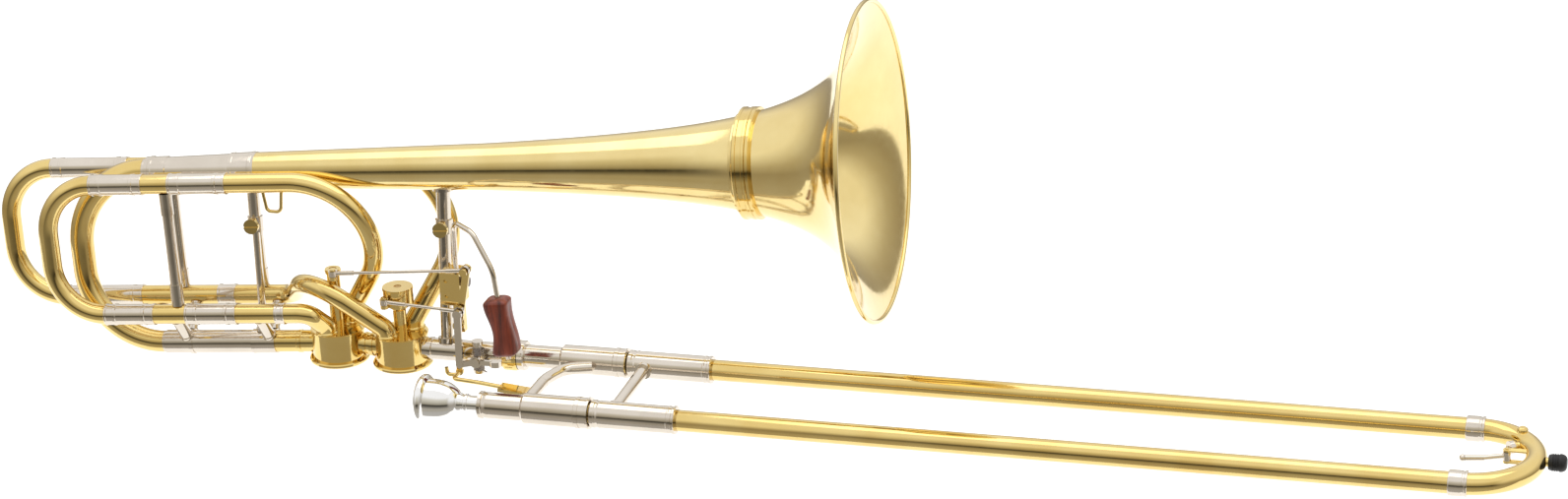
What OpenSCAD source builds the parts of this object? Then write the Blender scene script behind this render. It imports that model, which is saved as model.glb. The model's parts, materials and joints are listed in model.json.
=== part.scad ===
// Bass trombone with two in-line rotary valves and a detachable bell.
// +X runs along the hand slide towards its crook, +Z is square to the hand slide,
// and the origin is the face where the hand slide joins the bell section.
// Lengths are in millimetres.

/* [Bell] */
// diameter of the bell over its rim
bell_d = 241.3; // [230:0.1:270]
// how fast the flare opens: higher opens later
flare_power = 0.72; // [0.6:0.01:0.8]
// distance along the axis that sets the flare's curve
flare_scale = 23; // [15:0.5:35]
// length of the bell from the tuning slide's socket to the rim
bell_len = 484.3; // [400:0.1:560]
// radius of the bell's throat at the socket
throat_r = 13.8; // [11:0.1:16]
// sheet thickness of the bell
bell_wall = 0.8; // [0.5:0.1:1.5]
// radius of the wire bead round the rim
bead_r = 1.9; // [1:0.1:3]
// distance from the rim to the screwed ring
ring_at = 86; // [60:1:120]
// width of the screwed ring
ring_w = 12; // [8:0.5:18]
// outer radius of the screwed ring
ring_r = 42.4; // [40:0.1:48]

/* [Bell section] */
// angle the bell rises from the hand slide
bell_rise = 3.75; // [0:0.25:8]
// angle the bell turns away from the hand slide
bell_turn = 2.5; // [0:0.25:5]
// angle the bell section leans about the hand slide's axis
bell_lean = 6; // [0:0.5:15]
// height of the bell's axis above the main tube below it
bell_height = 137.5; // [120:0.5:160]
// side distance of each valve loop from the bell's plane
loop_side = 26; // [24:0.5:32]
// height of the valve loops' upper tubes
loop_top = 134.2; // [125:0.1:137]
// height of the valve loops' lower tubes
loop_low = 30.2; // [28:0.1:36]
// outer radius of the valve loops' tubes
loop_r = 7.6; // [7:0.1:8.5]
// wall of the valve loops' tubes
loop_wall = 0.7; // [0.4:0.05:1]
// corner radius of the valve loops' bows
loop_bow_r = 40; // [35:0.5:52]
// how far back the first valve's loop reaches
loop_a_back = 214; // [200:1:240]
// how far back the second valve's loop reaches
loop_b_back = 267; // [245:1:290]

/* [Main tuning slide] */
// how far back the bow reaches
bow_back = 198.5; // [180:0.5:210]
// corner radius of the bow
bow_r = 60; // [45:0.5:68]
// tube radius of the bow at its lower end
bow_low_r = 8.4; // [7.5:0.1:9.5]
// tube radius of the bow at its upper end
bow_top_r = 10; // [9:0.1:11]
// where the sockets start, back from the first valve
socket_back = 136.5; // [120:0.5:150]
// where the sockets end, back from the first valve
socket_front = 45.8; // [30:0.1:70]

/* [Valves] */
// position of the first valve along the hand slide's axis
valve_a_x = -148.7; // [-170:0.1:-130]
// position of the second valve along the hand slide's axis
valve_b_x = -96.6; // [-110:0.1:-80]
// outer radius of a valve's casing
valve_r = 20.5; // [18:0.1:24]
// outer radius of a valve's cap
cap_r = 23.3; // [20:0.1:27]
// radius of a rotor
rotor_r = 17.4; // [15:0.1:20]
// top of the casings
valve_top = 12.5; // [10:0.1:16]
// bottom of the caps
cap_bottom = -14; // [-18:0.1:-11]
// angle a rotor turns when its lever is pressed
rotor_turn = 45; // [30:1:60]
// distance of a linkage pin from its rotor's axis
pin_reach = 15.6; // [14.8:0.1:17]

/* [Hand slide] */
// distance between the two slide tubes
slide_w = 92; // [80:0.5:100]
// outer radius of the outer slide tubes
outer_r = 8; // [7.5:0.05:8.5]
// inner radius of the outer slide tubes
outer_in = 7.72; // [7.3:0.01:8]
// outer radius of the inner slide tubes
inner_r = 7.4; // [7:0.01:7.6]
// inner radius of the inner slide tubes
inner_in = 7.1; // [6.8:0.01:7.3]
// outer radius of the stockings at the inner tubes' ends
stocking_r = 7.66; // [7.4:0.01:7.9]
// length of the stockings
stocking_len = 120; // [60:5:160]
// end of the inner tubes along the slide
inner_end = 712; // [650:1:730]
// start of the crook along the slide
crook_x = 729; // [700:1:760]
// travel of the outer slide
slide_travel = 560; // [400:10:600]

/* [Mouthpiece] */
// outer radius of the mouthpiece's rim
rim_r = 19.8; // [18:0.1:21]
// radius of the cup inside the rim
cup_in = 13.9; // [12:0.1:15]
// length of the mouthpiece
mouthpiece_len = 88; // [80:0.5:95]

/* [Hidden] */
$fn = 96;
eps = 0.01;
run_gap = 0.1;
// how much fatter a bend's wall is than its straights', and how deep they reach into it
bend_lip = 0.05;
bend_joint = 0.4;
// unit vectors along a rotated frame
function rot_x(a) = [[1, 0, 0], [0, cos(a), -sin(a)], [0, sin(a), cos(a)]];
function rot_y(a) = [[cos(a), 0, sin(a)], [0, 1, 0], [-sin(a), 0, cos(a)]];
function rot_z(a) = [[cos(a), -sin(a), 0], [sin(a), cos(a), 0], [0, 0, 1]];
function transposed(m) = [for (i = [0:2]) [for (j = [0:2]) m[j][i]]];
function unit(v) = v / norm(v);
// the bell section's frame: its origin lies on the hand slide's axis
bell_origin = [-153.1, 0, 0];
bell_turned = rot_x(-bell_lean) * rot_z(bell_turn) * rot_y(-bell_rise);
function in_bell(p) = transposed(bell_turned) * (p - bell_origin);
function in_world(p) = bell_turned * p + bell_origin;
rim_s = 438.3;
throat_s = rim_s - bell_len;
ring_s = rim_s - ring_at;

// ---------- helpers ----------
module bellwise() {
    translate(bell_origin) rotate([-bell_lean, 0, 0]) rotate([0, 0, bell_turn])
        rotate([0, -bell_rise, 0]) children();
}

// local +Z runs from a towards b
module along(a, b) {
    v = b - a;
    translate(a) rotate([0, acos(v[2] / norm(v)), atan2(v[1], v[0])]) children();
}

module bar(a, b, r) {
    along(a, b) cylinder(h = norm(b - a), r = r);
}

module pipe(a, b, r, r_in) {
    along(a, b) difference() {
        cylinder(h = norm(b - a), r = r);
        translate([0, 0, -1]) cylinder(h = norm(b - a) + 2, r = r_in);
    }
}

// distance from a corner to where its bend starts
function setback(a, b, c, r) = let (turn = acos(unit(b - a) * unit(c - b))) r * tan(turn / 2);

module elbow(a, b, c, r, tube, tube_in) {
    u = unit(b - a);
    w = unit(c - b);
    turn = acos(u * w);
    n = unit(w - u * (u * w));
    start = b - u * r * tan(turn / 2);
    o = start + n * r;
    z = cross(-n, u);
    multmatrix([[-n[0], u[0], z[0], o[0]], [-n[1], u[1], z[1], o[1]],
        [-n[2], u[2], z[2], o[2]], [0, 0, 0, 1]])
        rotate_extrude(angle = turn) translate([r, 0]) difference() {
            circle(r = tube + bend_lip);
            if (tube_in > 0) circle(r = tube_in - bend_lip);
        }
}

// a tube that follows the corners p, each bent to the radius in bends;
// its straights start just inside the bends
module run(p, bends, tube, tube_in = 0) {
    last = len(p) - 1;
    back = [for (i = [0:last]) i == 0 || i == last ? 0 : setback(p[i - 1], p[i], p[i + 1], bends[i - 1])];
    for (i = [0:last - 1]) {
        u = unit(p[i + 1] - p[i]);
        a = p[i] + u * (back[i] - (i == 0 ? 0 : bend_joint));
        b = p[i + 1] - u * (back[i + 1] - (i == last - 1 ? 0 : bend_joint));
        if (norm(b - a) > 3 * bend_joint) {
            if (tube_in > 0) pipe(a, b, tube, tube_in);
            else bar(a, b, tube);
        }
    }
    for (i = [1:1:last - 1]) elbow(p[i - 1], p[i], p[i + 1], bends[i - 1], tube, tube_in);
}

// a tube along +X with raised rings, turned from one outline
module x_turned(outline, at = [0, 0, 0]) {
    translate(at) rotate([0, 90, 0]) rotate_extrude() polygon([for (q = outline) [q[1], q[0]]]);
}

// a sleeve along +X with a raised band at each end
module sleeve(x0, x1, r, r_in, band, rise) {
    x_turned([[x0, r_in], [x0, r + rise], [x0 + band, r + rise], [x0 + band, r],
        [x1 - band, r], [x1 - band, r + rise], [x1, r + rise], [x1, r_in]]);
}

// ---------- bell ----------
function bell_radius(x) = let (free = bell_d / 2 * pow((x + flare_scale) / flare_scale, -flare_power))
    x < 300 ? free : let (r300 = bell_d / 2 * pow((300 + flare_scale) / flare_scale, -flare_power))
        r300 + (throat_r - r300) * (x - 300) / (bell_len - 300);

module bell_part(x0, x1, steps) {
    // distances from the rim, closer together where the flare turns fastest
    d = [for (i = [0:steps]) x0 + (x1 - x0) * pow(i / steps, 1.7)];
    outer = [for (x = d) [rim_s - x, bell_radius(x)]];
    inner = [for (i = [steps:-1:0]) [rim_s - d[i] + bell_wall * 0.7, bell_radius(d[i]) - bell_wall * 0.75]];
    bellwise() translate([0, 0, bell_height]) x_turned(concat(outer, inner));
}

module bell_flare() {
    color("goldenrod") {
        bell_part(0.4, ring_at, 22);
        bellwise() translate([rim_s, 0, bell_height]) rotate([0, 90, 0])
            rotate_extrude() translate([bell_d / 2 - bead_r + 0.4, 0]) circle(r = bead_r);
    }
}

module bell_ring_male() {
    color("goldenrod") bellwise() translate([0, 0, bell_height]) x_turned([
        [ring_s - ring_w + 2, 37.4], [ring_s - ring_w + 2, 38.9], [ring_s - 2.2, 38.9],
        [ring_s - 2.2, ring_r], [ring_s + 1, ring_r], [ring_s + 1, 39.1]]);
}

module bell_ring_female() {
    color("goldenrod") bellwise() translate([0, 0, bell_height]) x_turned([
        [ring_s - ring_w - 1.5, 36], [ring_s - ring_w - 1.5, 38.4], [ring_s - ring_w, 39.5],
        [ring_s - ring_w, ring_r], [ring_s - 2.4, ring_r], [ring_s - 2.4, 39],
        [ring_s - ring_w + 1.8, 39], [ring_s - ring_w + 1.8, 36]]);
}

module bell_stem() {
    color("goldenrod") {
        bell_part(ring_at + ring_w + 1.5, bell_len, 26);
        bellwise() translate([0, 0, bell_height]) x_turned([
            [ring_s - ring_w - 5, 35.4], [ring_s - ring_w - 5, 37], [ring_s - ring_w - 4, 38],
            [ring_s - ring_w - 3, 37.6], [ring_s - ring_w - 3, 35.8]]);
    }
}

module upper_socket() {
    color("silver") bellwise() translate([0, 0, bell_height]) x_turned([
        [-socket_back, 9.4], [-socket_back, 11.6], [-socket_back + 18, 11.9],
        [-socket_back + 18, 11.2], [-socket_front - 21, 13.1], [-socket_front - 21, 13.9],
        [-socket_front, 14.4], [-socket_front, 12.9], [-socket_front - 3, 12.9],
        [-socket_front - 3, 9.4]]);
}

// ---------- main tuning slide ----------
// the bow's middle line and the direction out of its curve, by fraction of its length
bow_depth = bow_back - bow_r;
bow_flat = bell_height - 2 * bow_r;
function bow_at(t) = t < 0.45 ? let (a = t / 0.45 * 90)
        [-bow_depth - bow_r * sin(a), bow_r - bow_r * cos(a), a]
    : t > 0.55 ? let (a = (t - 0.55) / 0.45 * 90)
        [-bow_depth - bow_r * cos(a), bell_height - bow_r + bow_r * sin(a), 90 + a]
    : [-bow_back, bow_r + bow_flat * (t - 0.45) * 10, 90];

module bow_solid(shrink, more) {
    rings = 30;
    sides = 36;
    pts = [for (i = [0:rings])
        let (t = i / rings, q = bow_at(t), r = bow_low_r + (bow_top_r - bow_low_r) * t - shrink)
        for (k = [0:sides - 1]) let (b = k * 360 / sides)
            [q[0] - r * cos(b) * sin(q[2]) + (i == 0 || i == rings ? more : 0),
             r * sin(b), q[1] - r * cos(b) * cos(q[2])]];
    walls = [for (i = [0:rings - 1]) for (k = [0:sides - 1])
        let (a = i * sides + k, b = i * sides + (k + 1) % sides) [a, b, b + sides, a + sides]];
    first = [[for (k = [sides - 1:-1:0]) k]];
    end = [[for (k = [0:sides - 1]) rings * sides + k]];
    polyhedron(points = pts, faces = concat(walls, first, end));
}

module main_bow() {
    color("goldenrod") bellwise() difference() {
        bow_solid(0, 0);
        bow_solid(0.7, 1);
    }
}

module main_leg_upper() {
    color("silver") bellwise() translate([0, 0, bell_height]) x_turned([
        [-bow_depth, 8.7], [-bow_depth, 10.2], [-socket_back - 0.3, 10.2], [-socket_back - 0.3, 9.3],
        [-socket_front - 8, 9.3], [-socket_front - 8, 8.7]]);
}

module main_leg_lower() {
    color("silver") bellwise() x_turned([
        [-bow_depth, 7.1], [-bow_depth, 8.6], [-socket_back - 0.3, 8.6], [-socket_back - 0.3, 7.7],
        [-socket_front - 8, 7.7], [-socket_front - 8, 7.1]]);
}

module lower_socket() {
    color("silver") bellwise() x_turned([
        [-socket_back, 7.8], [-socket_back, 9.2], [-socket_back + 20, 9.2], [-socket_back + 20, 9.7],
        [-socket_back + 23, 9.7], [-socket_back + 23, 9], [-socket_front - 19, 9],
        [-socket_front - 19, 9.7], [-socket_front - 15, 9.5], [-socket_front, 9.5],
        [-socket_front, 7.8]]);
}

module valve_inlet() {
    inlet_end = -14;
    color("goldenrod") bellwise() x_turned([
        [-socket_front, 7.3], [-socket_front, 8.6], [-28, 8.6], [-27.6, 9], [-25, 9], [-24.6, 8.6],
        [inlet_end, 8.6], [inlet_end, 7.3]]);
}

// ---------- valves ----------
// where the loop tubes stand on a casing, from the valve's middle
port_a_in = [-4, -12.3, 0];
port_a_out = [5, 12, 0];
port_b_in = [-7.5, -10.3, 0];
port_b_out = [7, 11, 0];
spindle_r = 3;
// drums on the spindles: bottom, top and radius
drum_a = [57.6, 61, 6];
drum_b = [36, 50, 11.6];
// heights of the rods' middles at the drums
rod_a_z = 63.2;
rod_b_z = 42.6;
pin_r = 1.5;
eye_r = 3.3;
// the pins stand to the near side, and swing evenly about it
rest_a = -90 + rotor_turn / 2;
rest_b = -90 - rotor_turn / 2;
pin_a = [valve_a_x + pin_reach * cos(rest_a), pin_reach * sin(rest_a), rod_a_z];
pin_b = [valve_b_x + pin_reach * cos(rest_b), pin_reach * sin(rest_b), rod_b_z];

module casing(x, p_in, p_out) {
    translate([x, 0, 0]) difference() {
        union() {
            translate([0, 0, -10.5]) cylinder(h = valve_top + 10.5, r = valve_r);
            translate([0, 0, valve_top - 1.6]) cylinder(h = 1, r = valve_r + 0.5);
        }
        translate([0, 0, -11]) cylinder(h = 11 + 9.6, r = rotor_r + run_gap);
        translate([0, 0, 5]) cylinder(h = 20, r = spindle_r + run_gap);
        rotate([0, 90, 0]) cylinder(h = 60, r = 7.3, center = true);
        for (p = [p_in, p_out]) translate([p[0], p[1], 4]) cylinder(h = 20, r = 6);
    }
}

module cap(x) {
    color("goldenrod") translate([x, 0, 0]) rotate_extrude() polygon([[0, cap_bottom],
        [cap_r - 1.2, cap_bottom], [cap_r, cap_bottom + 1.2], [cap_r, -11.4], [cap_r - 0.6, -10.5], [0, -10.5]]);
}

module rotor(x, spindle_top) {
    color("darkgoldenrod") translate([x, 0, 0]) difference() {
        union() {
            translate([0, 0, -10.2]) cylinder(h = 19.5, r = rotor_r);
            translate([0, 0, 5]) cylinder(h = spindle_top - 5, r = spindle_r);
        }
        rotate([0, 90, 0]) cylinder(h = 60, r = 7.2, center = true);
    }
}

// the upright bearing between a casing and its drum
module tower(x, top, head_r) {
    color("goldenrod") translate([x, 0, 0]) rotate_extrude() polygon([
        [spindle_r + run_gap, valve_top], [5.1, valve_top], [5.1, top - 4.6],
        [head_r, top - 2.6], [head_r, top], [spindle_r + run_gap, top]]);
}

// a drum on the spindle, with an arm that carries the linkage's upright pin
module hub(x, drum, arm_top, rest, rod_z) {
    color("goldenrod") translate([x, 0, 0]) {
        difference() {
            union() {
                translate([0, 0, drum[0]]) cylinder(h = drum[1] - drum[0], r = drum[2]);
                translate([0, 0, drum[1] - 1.8]) cylinder(h = 0.8, r = drum[2] + 0.4);
            }
            translate([0, 0, drum[0] - 1]) cylinder(h = 30, r = spindle_r);
            if (drum[2] > 8) for (a = [10, 190]) rotate([0, 0, a]) translate([8, 0, drum[0] + 7])
                rotate([0, 90, 0]) cylinder(h = 6, r = 1.6);
        }
        rotate([0, 0, rest]) {
            translate([drum[2] - 1.2, -2, arm_top - 2.8]) cube([pin_reach - drum[2] + 1.2, 4, 2.8]);
            translate([pin_reach, 0, arm_top - 2.8]) cylinder(h = 2.8, r = 3);
            translate([pin_reach, 0, arm_top - 2.8]) cylinder(h = rod_z + 2.6 - arm_top + 2.8, r = pin_r);
            translate([pin_reach, 0, rod_z + 2.4]) cylinder(h = 1.2, r = 2.4);
        }
    }
}

module valve_a_casing() { color("goldenrod") casing(valve_a_x, port_a_in, port_a_out); }
module valve_a_cap() { cap(valve_a_x); }
module valve_a_rotor() { rotor(valve_a_x, drum_a[1] - 0.4); }
module valve_a_tower() { tower(valve_a_x, drum_a[0] - 0.4, 5.1); }
module valve_a_hub() { hub(valve_a_x, drum_a, rod_a_z - 2.6, rest_a, rod_a_z); }
module valve_b_casing() { color("goldenrod") casing(valve_b_x, port_b_in, port_b_out); }
module valve_b_cap() { cap(valve_b_x); }
module valve_b_rotor() { rotor(valve_b_x, drum_b[1] - 0.4); }
module valve_b_tower() { tower(valve_b_x, drum_b[0] - 0.4, 7); }
module valve_b_hub() { hub(valve_b_x, drum_b, rod_b_z - 2.6, rest_b, rod_b_z); }

module valve_link() {
    x0 = valve_a_x + 18.3;
    x1 = valve_b_x - 18.3;
    color("goldenrod") x_turned([[x0, 7.3], [x0, 8.2], [x0 + 4, 8.2], [x0 + 4, 9], [x0 + 6, 9],
        [x0 + 6, 8.2], [x1 - 6, 8.2], [x1 - 6, 9.4], [x1 - 3.5, 9.4], [x1 - 3.5, 8.6],
        [x1, 8.6], [x1, 7.3]]);
}

module neckpipe() {
    x0 = valve_b_x + 18.3;
    color("silver") x_turned([[x0, 7.2], [x0, 8.6], [x0 + 5, 8.6], [x0 + 5, 9], [x0 + 7.5, 9],
        [x0 + 8, 8.4], [-13, 8.4], [-13, 9.2], [-9, 9.2], [-9, 8.4], [-0.5, 7.8], [-0.5, 7.2]]);
}

module lock_nut() {
    color("goldenrod") difference() {
        x_turned([[-12.4, 9.5], [-12.4, 11.2], [-11.4, 12.2], [-2.4, 12.2], [-1.4, 11.6], [-0.6, 11.6],
            [-0.6, 9.3], [-8.6, 9.3], [-8.6, 9.5]]);
        for (a = [0:30:330]) rotate([a, 0, 0]) translate([-9.8, 0, 12.9]) rotate([0, 90, 0])
            cylinder(h = 6, r = 1.2, $fn = 24);
    }
}

// ---------- valve loops ----------
valve_a_pos = [valve_a_x, 0, valve_top];
valve_b_pos = [valve_b_x, 0, valve_top];
loop_a_front = 92;
loop_b_front = 141;
// each loop tube leaves its port upright, then follows its corners in the bell section's frame
port_rise = 5;
function port_start(valve, port) =
    [in_bell(valve + port + [0, 0, -2]), in_bell(valve + port + [0, 0, port_rise])];
function port_end(valve, port) =
    [in_bell(valve + port + [0, 0, port_rise]), in_bell(valve + port + [0, 0, -2])];
loop_a_in = concat(port_start(valve_a_pos, port_a_in), [[-8, -loop_side, loop_low],
    [-134, -loop_side, loop_low]]);
loop_a_out = concat([[-131.5, -loop_side, loop_top], [loop_a_front, -loop_side, loop_top]],
    port_end(valve_a_pos, port_a_out));
loop_b_in = concat(port_start(valve_b_pos, port_b_in), [[-8, -25, 60],
    [-38, loop_side, loop_low], [-163.6, loop_side, loop_low]]);
loop_b_out = concat([[-164, loop_side, loop_top], [loop_b_front, loop_side, loop_top]],
    port_end(valve_b_pos, port_b_out));

module loop_a_bend() {
    color("goldenrod") bellwise() {
        run(loop_a_in, [9.5, 12], loop_r, loop_r - loop_wall);
        run(loop_a_out, [56, 9.5], loop_r, loop_r - loop_wall);
    }
}

module loop_b_bend() {
    color("goldenrod") bellwise() {
        run(loop_b_in, [9.5, 34, 16], loop_r, loop_r - loop_wall);
        run(loop_b_out, [54, 9.5], loop_r, loop_r - loop_wall);
    }
}

// where each bow's curve starts, and where its fixed sockets start just ahead of it
arc_a = -(loop_a_back - loop_bow_r);
arc_b = -(loop_b_back - loop_bow_r);
socket_in = loop_r - 0.2;
module loop_a_sockets() {
    color("silver") bellwise() translate([0, -loop_side, 0]) {
        translate([0, 0, loop_top]) {
            sleeve(arc_a + 0.3, -130.5, 8, socket_in, 11, 0.5);
            sleeve(-109, -62.3, 8, loop_r, 10, 0.5);
        }
        translate([0, 0, loop_low]) {
            sleeve(arc_a + 0.3, -133, 8, socket_in, 10, 0.5);
            sleeve(-107, -65.5, 8, loop_r, 9, 0.5);
            sleeve(-34, -26, 8, loop_r, 3, 0.4);
        }
    }
}

module loop_b_sockets() {
    color("silver") bellwise() translate([0, loop_side, 0]) {
        translate([0, 0, loop_top]) sleeve(arc_b + 0.3, -163, 8, socket_in, 11, 0.5);
        translate([0, 0, loop_low]) {
            sleeve(arc_b + 0.3, -162.6, 8, socket_in, 11, 0.5);
            sleeve(-99.8, -85, 8, loop_r, 4, 0.5);
        }
    }
}

module loop_bow(side, back, arc) {
    color("goldenrod") bellwise() run([[arc, side, loop_low], [-back, side, loop_low],
        [-back, side, loop_top], [arc, side, loop_top]], [loop_bow_r - 0.01, loop_bow_r - 0.01],
        loop_r, loop_r - loop_wall);
}
module loop_a_bow() { loop_bow(-loop_side, loop_a_back, arc_a); }
module loop_b_bow() { loop_bow(loop_side, loop_b_back, arc_b); }

leg_r = loop_r - 0.3;
module loop_a_legs() {
    color("silver") bellwise() translate([0, -loop_side, 0]) {
        translate([0, 0, loop_top]) pipe([arc_a - 0.4, 0, 0], [-132, 0, 0], leg_r, leg_r - 0.5);
        translate([0, 0, loop_low]) pipe([arc_a - 0.4, 0, 0], [-134.5, 0, 0], leg_r, leg_r - 0.5);
    }
}
module loop_b_legs() {
    color("silver") bellwise() translate([0, loop_side, 0]) {
        translate([0, 0, loop_top]) pipe([arc_b - 0.4, 0, 0], [-165, 0, 0], leg_r, leg_r - 0.5);
        translate([0, 0, loop_low]) pipe([arc_b - 0.4, 0, 0], [-165, 0, 0], leg_r, leg_r - 0.5);
    }
}

// ---------- braces of the bell section ----------
// an upright stay with a thicker foot at each end
module stay(a, b, r, foot, foot_r) {
    along(a, b) {
        h = norm(b - a);
        cylinder(h = h, r = r);
        cylinder(h = foot, r = foot_r);
        translate([0, 0, h - foot]) cylinder(h = foot, r = foot_r);
    }
}

module loop_braces() {
    low = loop_low + loop_r - 0.4;
    top = loop_top - loop_r + 0.4;
    color("silver") bellwise() {
        stay([-113.5, -loop_side, low], [-113.5, -loop_side, top], 4.3, 17, 5);
        for (s = [-128, -62]) stay([s, loop_side, low], [s, loop_side, top], 3.7, 14, 4.3);
        for (s = [-118, -50]) {
            stay([s, -6, 7], [s, -loop_side + 5.2, loop_low - 5.4], 4.8, 1.5, 5.4);
            stay([s, 6, 7], [s, loop_side - 5.2, loop_low - 5.4], 4.2, 1.5, 4.8);
        }
    }
}

// a slotted thumb screw whose head faces the near side
module thumb_screw(p, reach) {
    color("goldenrod") translate(p) rotate([90, 0, 0]) difference() {
        union() {
            translate([0, 0, -reach]) cylinder(h = reach + 1.2, r = 1.9);
            translate([0, 0, 0.2]) cylinder(h = 1.6, r = 3.2);
            translate([0, 0, 1.7]) cylinder(h = 3.4, r = 5.9);
        }
        translate([-7, -0.7, 3.7]) cube([14, 1.4, 3]);
    }
}

rear_x = -54;
rear_screw_at = [-53, -6.4, 95.3];
module rear_brace() {
    color("silver") bellwise() difference() {
        union() {
            bar([rear_x - 2, 0, 9], [rear_x + 1, 0, 100], 3);
            bar([rear_x + 0.8, 0, 90], [rear_x + 2, 0, 124.8], 4.8);
            bar([rear_x + 0.8, 0, 89], [rear_x + 1.2, 0, 101], 6);
            bar([rear_x - 2, 0, 8.9], [rear_x - 1.95, 0, 11.4], 6);
            bar([rear_x + 1.95, 0, 121], [rear_x + 2, 0, 124.4], 7);
        }
        translate(rear_screw_at) rotate([90, 0, 0]) translate([0, 0, -8]) cylinder(h = 16, r = 2);
    }
}
module rear_brace_screw() { bellwise() thumb_screw(rear_screw_at, 6.5); }

brace_low = [94.3, -5, 2];
brace_high = [101.6, 0, 122.6];
brace_screw_at = [99.8, -8.2, 91.3];
function on_brace(t) = brace_low + (brace_high - brace_low) * t;
module main_brace() {
    color("silver") bellwise() difference() {
        union() {
            bar(on_brace(0), on_brace(0.8), 4.8);
            bar(on_brace(0.7), on_brace(1), 5.4);
            bar(on_brace(0.7), on_brace(0.79), 6.8);
            bar(on_brace(-0.01), on_brace(0.02), 7);
            bar(on_brace(0.975), on_brace(0.995), 8);
        }
        translate(brace_screw_at) rotate([90, 0, 0]) translate([0, 0, -9]) cylinder(h = 18, r = 2);
    }
}
module main_brace_screw() { bellwise() thumb_screw(brace_screw_at, 7); }

module pull_hook() {
    top = loop_top - loop_r + 0.6;
    color("goldenrod") bellwise() run([[-34, -loop_side, top], [-32, -loop_side, 112],
        [-21, -loop_side, 111], [-19, -loop_side, top]], [4, 4], 1.3);
}

module loop_knobs() {
    color("silver") bellwise() for (q = [[-154.6 + 5, 4.6], [-87, 3.2]])
        translate([q[0], loop_side, loop_low - loop_r - 0.1]) mirror([0, 0, 1]) {
            cylinder(h = 5, r = q[1] / 2);
            translate([0, 0, 3]) cylinder(h = 3, r = q[1]);
        }
}

// ---------- levers and linkage ----------
rest_foot = [-48.5, 1.5, 50];
rest_top = [-42, -14, 108];
rest_screw_z = 58;
block_front = -8.2;
lever_a_pivot = [-45, 0, 25];
lever_a_ball = [-35, 0, 73];
lever_b_pivot = [-30, 0, 0];
lever_b_ball = [-42.1, 0, 38.3];
arm_a_y = -10.9;
arm_b_y = -20;

module trigger_block() {
    color("goldenrod") difference() {
        union() {
            translate([-58.5, block_front, 41]) cube([16, 10.2 - block_front, 26]);
            translate([-49, block_front, 19.5]) cube([8, 6, 22]);
            translate([lever_a_pivot[0], block_front + 1, lever_a_pivot[2]]) rotate([90, 0, 0])
                cylinder(h = 4.4, r = 2.3);
            translate([lever_a_pivot[0], arm_a_y - 0.2, lever_a_pivot[2]]) rotate([90, 0, 0])
                cylinder(h = 1.2, r = 3.6);
        }
        along(rest_foot, rest_top) translate([0, 0, -0.6]) cylinder(h = 26, r = 2.2);
        translate([-47, 0, rest_screw_z]) rotate([0, 90, 0]) cylinder(h = 7, r = 1.6);
        for (z = [48.5, 61])
            translate([-53.5, block_front + 1.2, z]) rotate([90, 0, 0]) cylinder(h = 3, r = 1.7);
    }
}

// a flat bar of thickness t between two points of the x-z plane
module flat_bar(a, b, y, t, w) {
    v = [b[0] - a[0], b[2] - a[2]];
    translate([a[0], y, a[2]]) rotate([0, -atan2(v[1], v[0]), 0]) translate([0, 0, -w / 2])
        cube([norm(v), t, w]);
}
module y_disc(p, y, t, r) {
    translate([p[0], y, p[2]]) rotate([-90, 0, 0]) cylinder(h = t, r = r);
}

module trigger_a() {
    low = [-47, 0, -13];
    wire_y = -24;
    color("goldenrod") {
        difference() {
            union() {
                flat_bar(lever_a_pivot, lever_a_ball, arm_a_y, 2.1, 5.4);
                flat_bar(lever_a_pivot, low, arm_a_y, 2.1, 4.6);
                y_disc(lever_a_pivot, arm_a_y - 0.1, 2.3, 4.6);
                y_disc(lever_a_ball, arm_a_y - 0.1, 2.3, 3.6);
                y_disc(low, arm_a_y - 0.1, 2.3, 3);
            }
            y_disc(lever_a_pivot, arm_a_y - 1, 5, 2.38);
        }
        y_disc(lever_a_ball, -18.4, 8, pin_r);
        y_disc(lever_a_ball, -19.2, 1.2, 3);
        run([[low[0], arm_a_y + 1, low[2]], [low[0], wire_y, low[2]], [-26, wire_y, -14.6],
            [-9, wire_y, -16.6]], [3, 10], 1.7);
        run([[low[0], -16, low[2]], [-54.5, -17, low[2]], [-54.8, -17, -7]], [3], 1.5);
        translate([-10, wire_y - 6, -18.2]) rotate([0, 6, 0]) cube([24, 12, 2.6]);
    }
}

module trigger_b() {
    heel = [-43, 0, -3];
    color("silver") {
        difference() {
            union() {
                flat_bar(lever_b_ball, heel, arm_b_y, 2.2, 5.6);
                flat_bar(heel, lever_b_pivot, arm_b_y + 0.05, 2.1, 4.6);
                flat_bar(lever_b_pivot, [-17, 0, 0], arm_b_y - 0.05, 2.1, 4);
                y_disc(lever_b_pivot, arm_b_y - 0.2, 2.7, 4.6);
                y_disc(lever_b_ball, arm_b_y - 0.2, 2.6, 3.6);
                y_disc(heel, arm_b_y - 0.2, 2.6, 2.9);
            }
            y_disc(lever_b_pivot, arm_b_y - 1, 5, 2.08);
        }
        y_disc(lever_b_ball, arm_b_y + 1, 7.6, pin_r);
        y_disc(lever_b_ball, -11.9, 0.5, 2.2);
        translate([-14.4, -17, -2.6]) cylinder(h = 4.4, r = 5);
    }
}

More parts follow.
